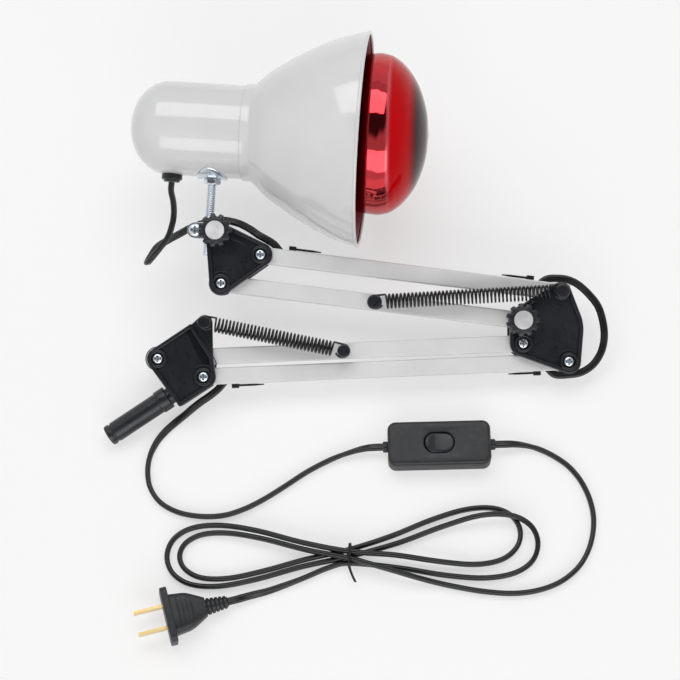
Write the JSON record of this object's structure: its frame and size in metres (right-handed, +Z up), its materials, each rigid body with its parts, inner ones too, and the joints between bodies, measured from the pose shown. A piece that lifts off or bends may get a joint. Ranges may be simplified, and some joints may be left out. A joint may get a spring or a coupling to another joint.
{
  "type": "infrared heat therapy lamp on a folding swing arm",
  "caption": "Folding double swing-arm lamp with a bell shade, a red reflector heat bulb, tension springs, a bench spigot, and a lead with an inline rocker switch and plug.",
  "frame": {"origin": "centre of the bottom of the lamp's box, on the table that the folded lamp lies on, without its free lead", "axes": "+X along the folded arm towards the elbow, +Y from the lead towards the shade, +Z up from the table"},
  "size_m": [0.3023, 0.3565, 0.129],
  "materials": {
    "black_plastic": "satin moulded black",
    "rod_white": "white powder coat",
    "shade_enamel": "spun aluminium under a glossy white-grey enamel",
    "zinc": "bright zinc plate",
    "ruby_glass": "ruby glass with a red coat",
    "brass": "plain",
    "ceramic": "glazed",
    "knob_grey": "pale grey moulded cap",
    "spring_black": "black oxide spring wire",
    "lead_black": "black flexible sheath",
    "switch_black": "matt charcoal"
  },
  "bodies": {
    "base": {"base_front_cover": "black_plastic", "base_rear_cover": "black_plastic", "spigot": "black_plastic", "base_screws": "zinc", "base_nuts": "zinc", "base_spring_post": "black_plastic", "lower_spring": "spring_black", "lead_base": "lead_black", "cord_to_switch": "lead_black", "switch_base": "switch_black", "switch_cover": "switch_black", "cord_hank": "lead_black", "twist_tie": "black_plastic", "plug_body": "black_plastic", "plug_blades": "brass"},
    "lower_rod_a": {"lower_rod_a": "rod_white", "lower_rod_post": "black_plastic"},
    "lower_rod_b": {"lower_rod_b": "rod_white", "lower_rod_ties": "black_plastic", "lead_in_lower_rod": "lead_black"},
    "elbow": {"elbow_front_cover": "black_plastic", "elbow_rear_cover": "black_plastic", "elbow_screws": "zinc", "elbow_nuts": "zinc", "elbow_spring_post": "black_plastic", "elbow_knob_bolt": "zinc", "upper_spring": "spring_black", "lead_elbow_upper": "lead_black", "lead_elbow_lower": "lead_black"},
    "elbow_knob": {"elbow_knob": "black_plastic", "elbow_knob_cap": "knob_grey"},
    "upper_rod_a": {"upper_rod_a": "rod_white", "upper_rod_ties": "black_plastic", "lead_in_upper_rod": "lead_black"},
    "upper_rod_b": {"upper_rod_b": "rod_white", "upper_rod_post": "black_plastic"},
    "head_bracket": {"head_bracket_front": "black_plastic", "head_bracket_rear": "black_plastic", "head_bracket_screws": "zinc", "head_bracket_nuts": "zinc", "tilt_bolt": "zinc", "lead_bracket": "lead_black"},
    "tilt_knob": {"tilt_knob": "black_plastic", "tilt_knob_cap": "knob_grey"},
    "stem_clamp": {"stem_clamp": "zinc", "clamp_screw": "zinc", "lead_clamp": "lead_black"},
    "head": {"stem": "zinc", "saddle_plate": "zinc", "stem_nuts": "zinc", "neck_cup": "shade_enamel", "bell_shade": "shade_enamel", "lamp_holder": "ceramic", "holder_shell": "brass", "holder_bracket": "zinc", "cord_grommet": "black_plastic", "lead_head_loop": "lead_black"},
    "bulb": {"bulb_glass": "ruby_glass", "bulb_cap": "zinc"},
    "rocker": {"switch_rocker": "switch_black"}
  },
  "joints": [
    {"name": "lower_arm", "type": "hinge", "parent": "base", "child": "lower_rod_b", "pos_m": [-0.09074, -0.07879, 0.0158], "axis": [0.0374, -0.3266, 0.9444], "range_deg": [-3, 130], "deforming": ["lower_spring", "lead_base"]},
    {"name": "lower_link", "type": "hinge", "parent": "base", "child": "lower_rod_a", "pos_m": [-0.11795, -0.06888, 0.0203], "axis": [0.0374, -0.3266, 0.9444], "range_deg": [-3, 130]},
    {"name": "elbow_level", "type": "hinge", "parent": "lower_rod_b", "child": "elbow", "pos_m": [0.12691, -0.0675, 0.01108], "axis": [0.0374, -0.3266, 0.9444], "range_deg": [-130, 3], "deforming": ["lead_elbow_lower"]},
    {"name": "upper_arm", "type": "hinge", "parent": "elbow", "child": "upper_rod_a", "pos_m": [0.12222, -0.02814, 0.02488], "axis": [0.0374, -0.3266, 0.9444], "range_deg": [-114, 0], "deforming": ["upper_spring", "lead_elbow_upper"]},
    {"name": "upper_link", "type": "hinge", "parent": "elbow", "child": "upper_rod_b", "pos_m": [0.09877, -0.04454, 0.02014], "axis": [0.0374, -0.3266, 0.9444], "range_deg": [-114, 0]},
    {"name": "head_level", "type": "hinge", "parent": "upper_rod_a", "child": "head_bracket", "pos_m": [-0.05681, -0.00955, 0.0384], "axis": [0.0374, -0.3266, 0.9444], "range_deg": [0, 114], "deforming": ["lead_bracket"]},
    {"name": "elbow_knob_turn", "type": "hinge", "parent": "elbow", "child": "elbow_knob", "pos_m": [0.0993, -0.04911, 0.03336], "axis": [0.0374, -0.3266, 0.9444], "range_deg": [-360, 360]},
    {"name": "tilt_knob_turn", "type": "hinge", "parent": "head_bracket", "child": "tilt_knob", "pos_m": [-0.08267, -0.00121, 0.05713], "axis": [0.0374, -0.3266, 0.9444], "range_deg": [-360, 360]},
    {"name": "head_tilt", "type": "hinge", "parent": "head_bracket", "child": "stem_clamp", "pos_m": [-0.08319, 0.00336, 0.04391], "axis": [0.0374, -0.3266, 0.9444], "range_deg": [-4, 44], "deforming": ["lead_clamp"]},
    {"name": "head_pan", "type": "hinge", "parent": "stem_clamp", "child": "head", "pos_m": [-0.08813, 0.00363, 0.0442], "axis": [0.0697, 0.9436, 0.3236], "range_deg": [-90, 90], "deforming": ["lead_head_loop"]},
    {"name": "bulb_screw", "type": "hinge", "parent": "head", "child": "bulb", "pos_m": [-0.0839, 0.06081, 0.06381], "axis": [0.999, -0.0401, 0.0204], "range_deg": [-5, 720]},
    {"name": "rocker_press", "type": "hinge", "parent": "base", "child": "rocker", "pos_m": [0.0498, -0.1187, 0.0112], "axis": [-0.0279, 0.9996, 0], "range_deg": [-14, 0]}
  ],
  "couplings": [
    {"joint": "lower_link", "follows": "lower_arm", "ratio": 1},
    {"joint": "elbow_level", "follows": "lower_arm", "ratio": -1},
    {"joint": "upper_link", "follows": "upper_arm", "ratio": 1},
    {"joint": "head_level", "follows": "upper_arm", "ratio": -1}
  ]
}
